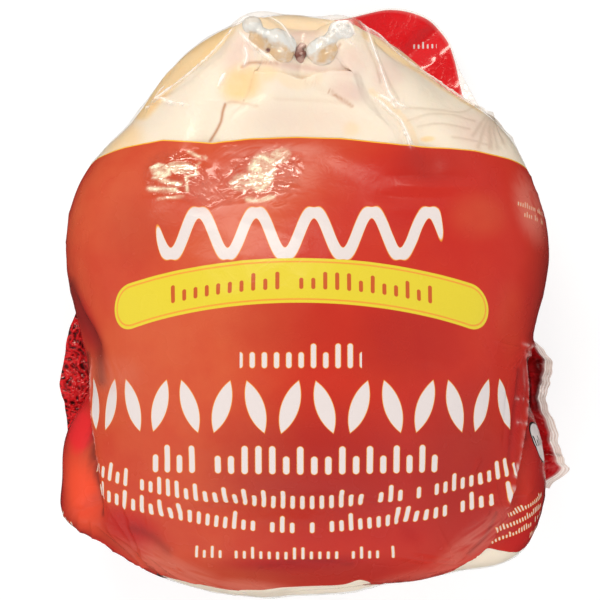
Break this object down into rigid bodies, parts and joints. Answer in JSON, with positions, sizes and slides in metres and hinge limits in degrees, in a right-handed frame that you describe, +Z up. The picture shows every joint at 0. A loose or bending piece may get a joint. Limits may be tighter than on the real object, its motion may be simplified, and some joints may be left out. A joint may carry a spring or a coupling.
{
  "type": "whole raw chicken in a shrink bag",
  "caption": "Whole raw chicken lying breast up in a tight printed shrink bag, its hocks under a clear window, with loose film at both sides and the legs' end.",
  "frame": {"origin": "on the flat patch the pack rests on, under the middle of the bird", "axes": "+Z up out of the breast, +Y towards the hocks, X across the bird from wing to wing"},
  "size_m": [0.2078, 0.2418, 0.1164],
  "materials": {
    "printed_film": "glossy printed shrink film, red, clear at both ends",
    "raw_skin": "moist raw poultry skin, cream with yellow fat",
    "bone_end": "wet white gristle"
  },
  "bodies": {
    "root": {"bagged_chicken": "printed_film"}
  },
  "joints": []
}
